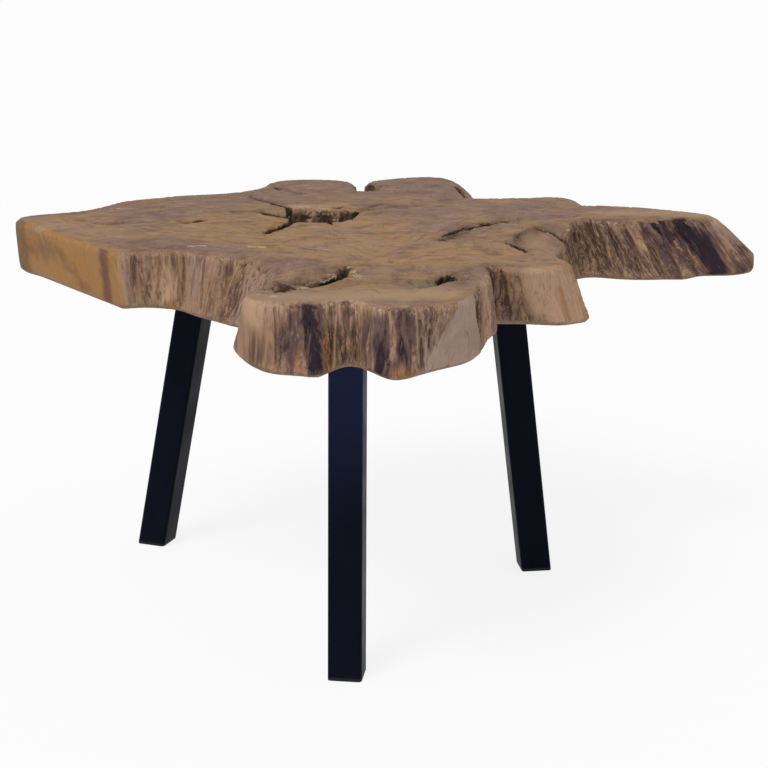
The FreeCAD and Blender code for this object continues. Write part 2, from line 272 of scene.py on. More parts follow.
def brushed(points, strokes):
    # how strongly brush strokes touch each point: a stroke is a path, its radius and its strength,
    # and a path given in plan alone works at every height
    touch = np.zeros(len(points))
    for path, radius, strength in strokes:
        stops = np.array(path)
        spots = points[:, :stops.shape[1]]
        nearest = np.full(len(points), np.inf)
        for start, end in zip(stops, np.vstack([stops[1:], stops[-1:]])):
            run = end - start
            along = np.clip((spots - start) @ run / max(run @ run, 1e-12), 0, 1)
            gap = np.linalg.norm(spots - start - along[:, None] * run, axis=1)
            nearest = np.minimum(nearest, gap)
        near = np.clip(1 - nearest / radius, 0, 1)
        touch = np.maximum(touch, strength * near * near * (3 - 2 * near))
    return touch


# Teak root slab: a stroke is a path over the slab, its radius and its strength, in metres

slabLow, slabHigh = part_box("teak_slab")
slabTop = slabHigh.z

facet = [                        # a smooth cut beside the front lobe's right corner
    ([(0.084, -0.378, 0.442), (0.052, -0.402, 0.386)], 0.028, 1.0),
    ([(0.089, -0.357, 0.440), (0.088, -0.357, 0.390)], 0.026, 1.0),
    ([(0.070, -0.388, 0.410), (0.076, -0.372, 0.386)], 0.028, 1.0)]

sawnBand = ([(-0.318, -0.128), (-0.318, -0.092)], 0.0120)   # a dark band down the sawn face, in plan

slabShape = {
    "voxel": 0.0018,             # step of the fine mesh that carries the relief
    "triangles": 190000,
    "arris": 0.004,              # the live edge's faces keep this clear of the top and the underside
    "level": 0.8,                # a face whose normal rises or falls more is no part of the live edge
    "evening": 0.07,             # reach over which the fibres' lean is evened out
    "sampling": 4,               # one in this many corners of the live edge counts for the evening
    "flattest": 0.35,            # flatter places of the live edge lean as if they were this steep
    "fibreDrift": 0.09, "splinterDrift": 0.13,   # change of a pattern down the fibres, as a share of the drop
    "swellWidth": 0.09,          # slow swell of the top
    "chipWidth": 0.008, "chipDepth": 0.0025,   # chips along the rim
    "checkWidth": 0.007,
    "crackShare": 0.60,          # width of the painted shade in a check, as a share of the check
    "sliverShare": 0.45}         # size of the small splinters, as a share of the large ones

slabStrokes = {
    "sawn": facet + [            # sawn or planed places, without furrows
        ([(-0.450, 0.075), (-0.322, -0.116)], 0.052, 1.5),
        ([(0.160, -0.225), (0.215, -0.195)], 0.050, 0.70),
        ([(-0.30, -0.14), (-0.19, -0.155)], 0.060, 0.35),
        ([(-0.150, -0.352), (-0.128, -0.386)], 0.040, 1.3),
        ([(0.415, 0.085), (0.470, 0.100)], 0.055, 1.1)],
    "slant": [                   # where the fibres run down to the right
        ([(0.29, 0.05), (0.47, 0.075)], 0.13, 0.62),
        ([(0.20, -0.20)], 0.06, 0.35)],
    "swell": [                   # places where the wall swells, with the swelling
        ([(0.425, 0.085, 0.425), (0.447, 0.090, 0.398)], 0.040, 0.0035),
        ([(-0.446, 0.075, 0.430), (-0.446, 0.080, 0.400)], 0.034, 0.0030)],
    "sink": [                    # places where the top dips, with the depth of the dip
        ([(-0.140, -0.210), (-0.100, -0.260)], 0.035, 0.007),
        ([(-0.018, 0.325), (-0.020, 0.305)], 0.014, 0.014),
        ([(-0.120, -0.304), (-0.096, -0.298), (-0.078, -0.290)], 0.018, 0.010),
        ([(-0.108, -0.306), (-0.094, -0.302)], 0.013, 0.013),
        ([(0.034, -0.298), (0.054, -0.280), (0.072, -0.272)], 0.016, 0.012)],
    "torn": [                    # broken, crumbling wood
        ([(-0.105, 0.128), (-0.040, 0.145)], 0.030, 1.0),
        ([(-0.119, 0.058), (-0.146, -0.030)], 0.018, 0.9),
        ([(-0.120, 0.080), (-0.165, 0.140)], 0.014, 0.6),
        ([(-0.120, 0.150), (-0.180, 0.245)], 0.012, 0.6),
        ([(0.057, -0.060), (0.075, -0.035), (0.100, 0.020), (0.125, 0.045), (0.155, 0.070)], 0.020, 1.0),
        ([(0.120, -0.056), (0.140, -0.080), (0.155, -0.130)], 0.012, 0.8),
        ([(-0.115, -0.330), (-0.076, -0.285), (-0.050, -0.240), (-0.036, -0.210)], 0.032, 1.0),
        ([(0.035, -0.300), (0.055, -0.275), (0.075, -0.250)], 0.024, 0.9),
        ([(-0.018, 0.330), (-0.022, 0.300)], 0.018, 0.9),
        ([(-0.160, -0.170), (-0.130, -0.215)], 0.026, 0.7),
        ([(-0.120, -0.285), (-0.085, -0.262), (-0.040, -0.250)], 0.030, 0.8),
        ([(-0.255, -0.105), (-0.230, -0.110)], 0.016, 0.5),
        ([(-0.150, -0.102), (-0.122, -0.108)], 0.016, 0.5)],
    "check": [                   # thin drying checks
        ([(-0.034, 0.148), (-0.001, 0.192)], 0.0050, 1.2),
        ([(-0.036, 0.136), (0.006, 0.162), (0.045, 0.172)], 0.0050, 1.2),
        ([(-0.048, 0.078), (-0.016, 0.062)], 0.0050, 1.2),
        ([(-0.178, 0.240), (-0.150, 0.202), (-0.120, 0.155)], 0.0075, 1.5),
        ([(-0.190, 0.128), (-0.156, 0.132), (-0.120, 0.092)], 0.0085, 1.6),
        ([(-0.353, 0.047), (-0.341, 0.042), (-0.327, 0.044)], 0.0055, 1.2),
        ([(-0.333, 0.040), (-0.320, 0.049), (-0.306, 0.050)], 0.0070, 1.6),
        ([(-0.299, 0.053), (-0.284, 0.057), (-0.268, 0.062)], 0.0045, 1.1),
        ([(-0.255, 0.066), (-0.246, 0.056), (-0.238, 0.051)], 0.0055, 1.3),
        ([(-0.243, 0.048), (-0.232, 0.059), (-0.218, 0.073)], 0.0075, 1.6),
        ([(-0.055, -0.312), (-0.005, -0.296), (0.027, -0.289)], 0.0040, 0.9),
        ([(-0.152, 0.330), (-0.132, 0.296), (-0.112, 0.263)], 0.0055, 1.0),
        ([(0.180, 0.030), (0.200, 0.030), (0.212, 0.008)], 0.0050, 0.8),
        ([(0.068, -0.268), (0.094, -0.266)], 0.0050, 0.9),
        ([(0.095, 0.330), (0.099, 0.285), (0.103, 0.235)], 0.0050, 0.9)]}

slabRelief = {
    "Lobe Width": 0.055, "Lobe Depth": 0.0018,           # slow swelling round the edge
    "Furrow Width": 0.013, "Furrow Depth": 0.0030,       # small furrows between the solid's own
    "Splinter Width": 0.012, "Splinter Depth": 0.0020,   # torn slivers
    "Fibre Width": 0.0042, "Fibre Depth": 0.0018,
    "Proud": 0.0022,                                     # how far the unfurrowed places stand out
    "Crumb Width": 0.008, "Crumb Depth": 0.005,          # broken places in the top
    "Check Depth": 0.006,
    "Base Level": slabLow.z,
    "Top Swell": 0.0012, "Top Level": slabTop}

teakGrain = {                    # sizes of the patterns in the finish
    "cloud": 0.035, "speck": 0.0055, "pore": 0.0013,
    "warmth": 0.13, "rosy": 0.06, "blot": 0.026, "mottle": 0.012,         # clouds on the top
    "drift": 0.11, "line": 0.0060, "ray": 0.012, "rayPatch": 0.06,        # growth lines and checks
    "broad": 0.05, "ochre": 0.026, "streak": 0.017, "thread": 0.0042, "hair": 0.0017,   # fibres
    "wander": 0.016, "wanderReach": 0.010,                                # unsteady edges of the strokes
    "sawLine": 0.0035, "column": 0.008,
    "bump": 0.0016}

slabColours = {
    "greyBrown": (0.232, 0.147, 0.106),
    "goldBrown": (0.334, 0.199, 0.100),
    "rosyGrey": (0.265, 0.166, 0.126),
    "smudge": (0.148, 0.083, 0.053),
    "ringBrown": (0.118, 0.063, 0.038),
    "paleBeige": (0.420, 0.285, 0.182),
    "fleck": (0.560, 0.420, 0.280),
    "bleach": (0.490, 0.320, 0.205),
    "tan": (0.325, 0.200, 0.122),
    "rose": (0.325, 0.216, 0.168),
    "ochre": (0.300, 0.165, 0.076),
    "brown": (0.094, 0.051, 0.040),
    # painted shade in the furrows
    "furrow": (0.060, 0.034, 0.028),
    "plum": (0.115, 0.068, 0.064),
    "sawnGold": (0.350, 0.183, 0.062),
    "sawnShade": (0.200, 0.108, 0.046),
    "amber": (0.290, 0.130, 0.044),
    "band": (0.155, 0.074, 0.054),
    "olive": (0.250, 0.180, 0.085),
    "facet": (0.425, 0.306, 0.240),
    "stain": (0.022, 0.015, 0.025),
    "stainLine": (0.300, 0.250, 0.250),
    # painted shade in the heart and the splits
    "hollow": (0.012, 0.008, 0.005),
    # painted shade in cracks, checks, holes and broken places
    "creviceShade": (0.036, 0.022, 0.013),
    "raw": (0.300, 0.205, 0.135),
    "ash": (0.270, 0.215, 0.155)}

slabMarks = {
    "facet": facet,
    "stain": [
        ([(-0.078, -0.388, 0.447), (-0.072, -0.402, 0.420)], 0.026, 0.85),
        ([(-0.072, -0.402, 0.420), (-0.069, -0.413, 0.392)], 0.017, 0.90),
        ([(-0.009, -0.406, 0.432), (-0.006, -0.418, 0.388)], 0.024, 1.05),
        ([(0.016, -0.413, 0.440), (0.017, -0.423, 0.402)], 0.024, 0.85),
        ([(-0.103, -0.390, 0.438), (-0.099, -0.404, 0.405)], 0.016, 0.55),
        ([(-0.112, -0.390, 0.440), (-0.088, -0.402, 0.400)], 0.030, 0.35),
        ([(-0.045, -0.383, 0.440), (-0.020, -0.392, 0.395)], 0.030, 0.35),
        ([(0.040, -0.412, 0.440), (0.030, -0.420, 0.400)], 0.025, 0.35),
        ([(0.334, 0.086, 0.446), (0.386, 0.084, 0.442)], 0.021, 1.00),
        ([(0.362, 0.082, 0.440), (0.386, 0.073, 0.420)], 0.032, 1.15),
        ([(0.388, 0.073, 0.420), (0.405, 0.066, 0.386)], 0.026, 1.40),
        ([(0.322, 0.080, 0.444), (0.352, 0.072, 0.430)], 0.026, 0.85),
        ([(0.434, 0.082, 0.410), (0.438, 0.082, 0.392)], 0.032, 0.72),
        ([(0.325, 0.066, 0.440), (0.352, 0.060, 0.400)], 0.044, 0.52),
        ([(0.360, 0.060, 0.400), (0.378, 0.058, 0.390)], 0.020, 0.5)],
    "amber": [
        ([(-0.056, -0.395, 0.420), (-0.058, -0.405, 0.388)], 0.015, 1.0),
        ([(-0.087, -0.404, 0.408), (-0.086, -0.409, 0.388)], 0.013, 0.9),
        ([(-0.004, -0.425, 0.387), (0.035, -0.420, 0.386)], 0.018, 1.0),
        ([(0.036, -0.418, 0.430), (0.030, -0.422, 0.395)], 0.013, 0.7),
        ([(0.206, -0.192, 0.430), (0.222, -0.184, 0.383)], 0.010, 0.8),
        ([(0.186, -0.208, 0.425), (0.198, -0.200, 0.388)], 0.008, 0.7),
        ([(-0.270, -0.128, 0.387), (-0.240, -0.122, 0.387)], 0.011, 0.7)],
    "gold": [
        ([(-0.430, 0.050, 0.42), (-0.330, -0.100, 0.415)], 0.052, 1.4),
        ([(-0.335, -0.100, 0.445), (-0.333, -0.082, 0.385)], 0.026, 1.0),
        ([(-0.308, -0.130, 0.443), (-0.305, -0.115, 0.386)], 0.025, 0.9),
        ([(-0.140, -0.375, 0.430), (-0.145, -0.360, 0.395)], 0.034, 0.45),
        ([(0.200, -0.195, 0.435), (0.208, -0.190, 0.395)], 0.030, 0.7),
        ([(-0.09, -0.11, slabTop), (0.05, -0.16, slabTop)], 0.085, 0.9),
        ([(-0.40, 0.03, slabTop), (-0.33, -0.02, slabTop)], 0.10, 1.1),
        ([(-0.21, 0.06, slabTop), (-0.08, 0.0, slabTop)], 0.07, 0.8),
        ([(0.10, -0.12, slabTop), (0.19, -0.17, slabTop)], 0.05, 0.6)],
    "shade": [
        ([(-0.440, 0.062, 0.425), (-0.418, 0.030, 0.428), (-0.380, -0.020, 0.425)], 0.034, 0.9),
        ([(-0.375, -0.030, 0.395), (-0.350, -0.065, 0.395)], 0.022, 0.6)],
    "pale": [
        ([(-0.295, -0.125, 0.430), (-0.290, -0.118, 0.395)], 0.026, 0.45),
        ([(-0.186, -0.170, 0.430), (-0.182, -0.170, 0.395)], 0.026, 0.40),
        ([(-0.112, 0.168, slabTop), (-0.076, 0.165, slabTop)], 0.032, 0.9),
        ([(-0.40, 0.03, slabTop), (-0.33, -0.02, slabTop)], 0.06, 0.45),
        ([(0.102, -0.291, 0.435), (0.103, -0.287, 0.400)], 0.036, 1.3),
        ([(0.169, -0.215, 0.430), (0.200, -0.192, 0.400)], 0.052, 1.0),
        ([(-0.255, -0.125, 0.435), (-0.250, -0.120, 0.400)], 0.030, 0.65),
        ([(-0.213, -0.148, 0.435), (-0.213, -0.148, 0.395)], 0.030, 0.2),
        ([(-0.150, -0.200, 0.430), (-0.150, -0.230, 0.400)], 0.020, 0.5),
        ([(0.175, 0.000, 0.440), (0.178, -0.070, 0.438)], 0.040, 0.8),
        ([(-0.12, -0.37, slabTop), (-0.03, -0.36, slabTop), (0.05, -0.35, slabTop)], 0.055, 0.9),
        ([(0.28, 0.12, slabTop), (0.40, 0.105, slabTop)], 0.045, 0.8),
        ([(0.10, -0.29, slabTop), (0.11, -0.25, slabTop)], 0.03, 0.5)],
    "dark": [
        ([(0.235, 0.055, 0.430), (0.290, 0.055, 0.410)], 0.055, 0.45),
        ([(0.330, 0.055, 0.420), (0.34, 0.05, 0.39)], 0.04, 0.7),
        ([(0.122, -0.205, 0.430), (0.125, -0.205, 0.390)], 0.032, 0.12),
        ([(-0.279, -0.128, 0.440), (-0.281, -0.122, 0.388)], 0.012, 0.3),
        ([(-0.170, -0.182, 0.430), (-0.165, -0.185, 0.390)], 0.016, 0.45),
        ([(-0.146, -0.358, 0.430), (-0.138, -0.375, 0.395)], 0.034, 0.30),
        ([(-0.240, -0.130, 0.440), (-0.238, -0.130, 0.420)], 0.010, 0.5),
        ([(0.094, -0.332, 0.445), (0.096, -0.332, 0.386)], 0.006, 0.8),
        ([(-0.042, -0.383, 0.430), (-0.035, -0.390, 0.390)], 0.025, 0.3)],
    "band": [
        ([(-0.312, -0.105, slabTop), (-0.285, -0.090, slabTop)], 0.014, 0.5)],
    "olive": [
        ([(-0.448, 0.070, 0.440), (-0.448, 0.080, 0.390)], 0.030, 0.6),
        ([(0.447, 0.095, 0.410), (0.445, 0.090, 0.390)], 0.020, 0.9)],
    "rib": [                     # lighter ribs on the far wall of the heart, where its painted shade is lifted
        ([(-0.112, 0.140, 0.450), (-0.066, 0.140, 0.450)], 0.014, 1.0),
        ([(-0.098, 0.136, 0.444), (-0.097, 0.130, 0.432)], 0.006, 1.2),
        ([(-0.064, 0.138, 0.447), (-0.062, 0.134, 0.434)], 0.011, 1.1)],
    "ash": [                     # bare grey wall at the left end of the front pocket
        ([(0.034, -0.294, 0.444), (0.046, -0.282, 0.436)], 0.022, 1.0)],
    "pit": [                     # broken places, with painted shade in their holes
        ([(-0.112, -0.308), (-0.102, -0.290)], 0.017, 1.2),
        ([(-0.084, -0.278), (-0.066, -0.262)], 0.017, 1.05),
        ([(-0.060, -0.250), (-0.044, -0.220)], 0.015, 0.9),
        ([(0.055, -0.272), (0.066, -0.262)], 0.012, 0.7),
        ([(0.057, -0.060), (0.075, -0.036), (0.099, 0.024)], 0.013, 0.60),
        ([(0.112, 0.042), (0.151, 0.061)], 0.010, 0.75),
        ([(-0.110, 0.156), (-0.062, 0.160)], 0.016, 0.55),
        ([(-0.023, 0.338), (-0.021, 0.308)], 0.012, 1.0)],
    "grey": [
        ([(-0.450, 0.072, 0.445), (-0.450, 0.082, 0.390)], 0.044, 1.0),
        ([(-0.30, -0.06, slabTop), (-0.20, -0.10, slabTop)], 0.06, 0.9),
        ([(-0.44, 0.09, slabTop), (-0.34, 0.17, slabTop), (-0.26, 0.25, slabTop)], 0.06, 0.7),
        ([(-0.26, 0.17, slabTop), (-0.16, 0.26, slabTop)], 0.08, 0.7),
        ([(-0.10, 0.33, slabTop)], 0.11, 0.5),
        ([(0.05, 0.33, slabTop)], 0.14, 0.8),
        ([(0.06, 0.03, slabTop)], 0.10, 0.6),
        ([(-0.02, 0.16, slabTop), (0.09, 0.12, slabTop)], 0.09, 0.8),
        ([(0.235, 0.02, 0.440), (0.215, -0.05, 0.420)], 0.05, 0.6)]}

slabFlecks = [                   # bright torn splinters near the front edges and behind the heart, in plan
    ([(-0.156, -0.104), (-0.138, -0.106)], 0.009, 1.0),
    ([(-0.222, -0.098), (-0.208, -0.099)], 0.009, 1.0),
    ([(-0.130, -0.352), (-0.112, -0.362)], 0.008, 0.9),
    ([(-0.038, -0.215), (-0.030, -0.270)], 0.014, 0.7),
    ([(-0.096, -0.304), (-0.088, -0.280)], 0.016, 0.9),
    ([(-0.066, -0.258), (-0.058, -0.238)], 0.014, 0.9),
    ([(-0.108, 0.160), (-0.072, 0.152)], 0.022, 0.9),
    ([(-0.345, 0.150), (-0.325, 0.152)], 0.010, 0.8)]

heart = Vector((-0.080, 0.095))   # where the root's arms part; checks run out from here


def teakTop(f, place, cloud):
    # grey, rosy and golden clouds with short blurred streaks, faint growth lines that follow the rim, and
    # checks that run out from the heart, with painted shade in them
    c = slabColours
    size = teakGrain
    x, y = f.parts(place)[:2]
    across = f.mark("rim") + f.noise(place, size["drift"], 3.0) * 0.06
    lines = f.noise(f.join(across, x * 0.12, y * 0.12), size["line"], 3.0, 0.6)
    blots = f.noise(f.join(across * 0.7, x * 0.6, y * 0.8), size["blot"], 5.0, 0.68)
    mottle = f.noise(f.vectors("MULTIPLY", place, (0.65, 1.0, 1.0)), size["mottle"], 4.0, 0.7)
    rosy = f.noise(place, size["rosy"], 4.0, 0.6)
    warmth = f.noise(place, size["warmth"], 4.0, 0.6) + f.mark("gold") * 0.35 - f.mark("grey") * 0.22
    awayX = x - heart.x
    awayY = y - heart.y
    away = f.maths("SQRT", awayX * awayX + awayY * awayY + 0.0001)
    rays = f.noise(f.join(awayX / away * 0.25, awayY / away * 0.25, away * 0.06), size["ray"], 2.0)
    checked = f.ease(abs(rays - 0.5), 0.018, 0.0)
    checked = checked * f.ease(f.noise(place, size["rayPatch"], 3.0), 0.50, 0.62)
    colour = f.tint(f.ease(warmth, 0.38, 0.62), c["greyBrown"], c["goldBrown"])
    colour = f.coats(colour, [
        (f.ease(rosy, 0.50, 0.64) * 0.70, c["rosyGrey"]),
        (f.ease(blots, 0.52, 0.68) * 0.60, c["smudge"]),
        (f.ease(blots, 0.46, 0.32) * 0.35, c["paleBeige"]),
        (f.ease(mottle, 0.52, 0.68) * 0.50, c["ringBrown"]),
        (f.ease(mottle, 0.47, 0.32) * 0.45, c["paleBeige"]),
        (f.ease(lines, 0.47, 0.34) * 0.35, c["ringBrown"]),
        (f.ease(f.mark("pale") + cloud - 0.5, 0.1, 0.9) * 0.60, c["paleBeige"]),
        # painted shade in the checks that run out from the heart
        (checked * 0.30, c["creviceShade"]),
        (f.mark("band") * 0.60, c["band"])])
    return colour, lines * 0.4 + mottle * 0.6 - checked * 0.6


def teakSide(f, fibre, plan, cloud):
    # streaks down the fibres, with painted shade in the furrows and a painted highlight on the ridges, stains
    # and sawn or planed places
    c = slabColours
    size = teakGrain
    broad = f.noise(fibre, size["broad"], 3.0)
    warm = f.noise(fibre, size["ochre"], 4.0, 0.6)
    streak = f.noise(fibre, size["streak"], 4.0, 0.62)
    thread = f.noise(fibre, size["thread"], 4.0, 0.65)
    hair = f.noise(fibre, size["hair"], 3.0)
    cloudSwing = cloud - 0.5      # noises that swing about 0
    streakSwing = streak - 0.5
    threadSwing = thread - 0.5
    gold = f.mark("gold")
    pale = f.mark("pale")
    stain = f.mark("stain")
    cavity = f.mark("cavity")     # in millimetres, above 0 in furrows and below 0 on ridges
    wild = 1 - f.mark("sawn") * 0.80
    brownness = streak * 0.6 + thread * 0.4 + f.mark("dark") * 0.24 - gold * 0.15 - pale * 0.12
    smudged = f.ease(f.mark("shade") * 0.7 + cloudSwing * 1.8 + streakSwing * 0.5, 0.1, 0.7)
    sawn = f.tint(smudged * 0.9, c["sawnGold"], c["sawnShade"])
    bleached = pale + cloudSwing * 0.6 + threadSwing * 0.5
    rusty = f.mark("amber") + streakSwing * 1.8 + threadSwing
    banded = f.stroke(plan, *sawnBand) + streakSwing * 0.6
    planed = f.tint(f.ease(cloud, 0.45, 0.66) * 0.4, c["facet"], c["rosyGrey"])
    blotches = streakSwing * 2.0 + threadSwing * 1.6 + cloudSwing
    soaked = stain * 0.95 + blotches * f.ease(stain, 0.0, 0.25)
    colour = f.tint(f.ease(broad, 0.40, 0.60), c["tan"], c["rose"])
    colour = f.coats(colour, [
        (f.ease(warm, 0.52, 0.66) * 0.60, c["ochre"]),
        (f.ease(brownness, 0.445, 0.62) * 0.92, c["brown"]),
        # painted shade in the furrows and a painted highlight on the ridges, from how deep the surface lies
        (f.ease(cavity, 0.15, 1.10) * wild * 0.60, c["furrow"]),
        (f.ease(cavity, -0.15, -0.90) * 0.20, c["paleBeige"]),
        (f.ease(gold + streakSwing * 0.9, 0.22, 0.70) * 0.85, sawn),
        (f.ease(bleached, 0.22, 0.65) * 0.80, c["bleach"]),
        (f.ease(rusty, 0.25, 0.95) * 0.85, c["amber"]),
        (f.ease(f.mark("olive") + cloudSwing * 0.4, 0.20, 0.60) * 0.80, c["olive"]),
        (f.ease(f.mark("grey") + cloudSwing * 0.4, 0.25, 0.70) * 0.60, c["smudge"]),
        (f.ease(banded, 0.05, 0.95) * 0.90, c["band"]),
        (f.ease(f.mark("facet") + cloudSwing * 0.15, 0.28, 0.42) * 0.88, planed),
        (f.ease(thread, 0.55, 0.68) * wild * 0.55, c["paleBeige"]),
        (f.ease(hair, 0.48, 0.32) * wild * 0.60, c["brown"]),
        (f.ease(hair, 0.55, 0.68) * wild * 0.60, c["bleach"]),
        (f.ease(soaked, 0.10, 0.55) * 0.80, c["plum"]),
        (f.ease(soaked, 0.48, 1.00) * 0.92, c["stain"]),
        (f.ease(soaked, 0.30, 0.60) * f.ease(thread, 0.60, 0.70) * 0.35, c["stainLine"])])
    return colour, (thread * 0.6 + hair * 0.5) * wild


def teakUnder(f, sawLines, cloud):
    # raw wood with the saw's lines
    c = slabColours
    colour = f.tint(f.ease(cloud, 0.35, 0.65) * 0.5, c["raw"], c["greyBrown"])
    return f.tint(f.ease(sawLines, 0.50, 0.35) * 0.4, colour, c["ringBrown"])


def teakFinish():
    c = slabColours
    size = teakGrain
    f = Finish("teakRoot")
    place = f.place()
    z = f.parts(place)[2]
    rim = f.mark("rim")
    facing = f.mark("facing")
    top = f.ease(facing, 0.72, 0.93)
    under = f.ease(facing, -0.45, -0.85)
    upper = 1 - under
    inside = f.ease(rim, 0.006, 0.014)
    cloud = f.noise(place, size["cloud"], 5.0, 0.6)
    pores = f.noise(place, size["pore"], 2.0)
    specks = f.noise(place, size["speck"], 3.0, 0.65)
    sawLines = f.noise(f.vectors("MULTIPLY", place, (1.0, 0.04, 1.0)), size["sawLine"], 2.0)
    # strokes in plan, with unsteady edges
    wander = f.noise(place, size["wander"], 5.0, 0.7).out("Color")
    wander = f.scaled(f.vectors("SUBTRACT", wander, (0.5, 0.5, 0.5)), size["wanderReach"])
    plan = f.vectors("MULTIPLY", f.vectors("ADD", place, wander), (1, 1, 0))
    topColour, topGrain = teakTop(f, place, cloud)
    sideColour, sideGrain = teakSide(f, f.mark("fibre", "Vector"), plan, cloud)

    # the rim is flecked where its fibres are torn
    flecked = f.ease(rim, 0.008, 0.001) * f.ease(z, slabTop - 0.012, slabTop - 0.004)
    flecked = flecked * (1 - f.mark("sawn") * 0.7) * f.ease(specks, 0.56, 0.66)
    # broken places have painted shade in the holes and are pale on the crumbs
    pit = f.mark("pit")
    pitted = pit + (specks - 0.5) * 2.2 + (cloud - 0.5) * 1.2
    holeShade = f.ease(pit, 0.0, 0.3) * f.ease(pitted, 0.15, 0.75)
    splinter = f.strokes(plan, slabFlecks)
    bright = f.ease(splinter, 0.0, 0.3) * f.ease(splinter + (specks - 0.5) * 3.5, 0.55, 1.00)
    bright = f.maths("MAXIMUM", bright, f.mark("torn") * f.ease(specks, 0.58, 0.68) * 0.75)
    # painted shade: a dark line along each drying check
    crackShade = f.strokes(plan, slabStrokes["check"], slabShape["crackShare"]) * f.ease(specks, 0.36, 0.50)
    # painted shade in the heart and the splits: dark below the top, darkest at the bottom,
    # lifted on the paler ribs of the heart's far wall and on the bare grey wall
    columns = f.noise(f.vectors("MULTIPLY", place, (1.0, 0.3, 0.15)), size["column"], 2.0)
    ribs = f.ease(f.mark("rib") + (columns - 0.5) * 1.2, 0.25, 0.70)
    ash = f.ease(f.mark("ash") + (specks - 0.5) * 0.6, 0.20, 0.55)
    wallShade = (1 - top) * f.ease(z, slabTop - 0.0002, slabTop - 0.0030)
    wallShade = wallShade * (0.75 + f.ease(columns, 0.55, 0.42) * 0.25) * (1 - ribs * 0.92)
    deepShade = f.ease(z, slabTop - 0.020, slabTop - 0.028)
    sunkShade = f.maths("MAXIMUM", wallShade, deepShade) * inside * upper * (1 - ash * 0.9)

    colour = f.coats(sideColour, [
        (top, topColour),
        (under, teakUnder(f, sawLines, cloud)),
        (flecked * 0.60, c["fleck"]),
        # painted shade in the crumbs and checks that the relief sinks
        (f.ease(f.mark("broken"), 0.15, 0.75) * upper * 0.85, c["creviceShade"]),
        # painted shade in the holes of the broken places
        (holeShade * upper * 0.85, c["creviceShade"]),
        (bright * top * 0.65, c["fleck"]),
        # painted shade in the drying checks
        (crackShade * upper * 0.85, c["creviceShade"]),
        (ash * 0.80, c["ash"]),
        # painted shade in the heart and the splits
        (sunkShade * 0.88, c["hollow"]),
        (f.ease(pores, 0.42, 0.30) * 0.30, c["ringBrown"])])
    height = f.node("ShaderNodeMix", {}, {0: top, 2: sideGrain, 3: topGrain * 0.5}) + pores * 0.15
    gloss = 0.66 - top * 0.14 + f.ease(cloud, 0.3, 0.7) * 0.1
    bumps = f.bump(height + sawLines * under * 0.4, 0.5, size["bump"])
    return f.close({"Base Color": colour, "Roughness": gloss, "Normal": bumps, "Specular IOR Level": 0.02})


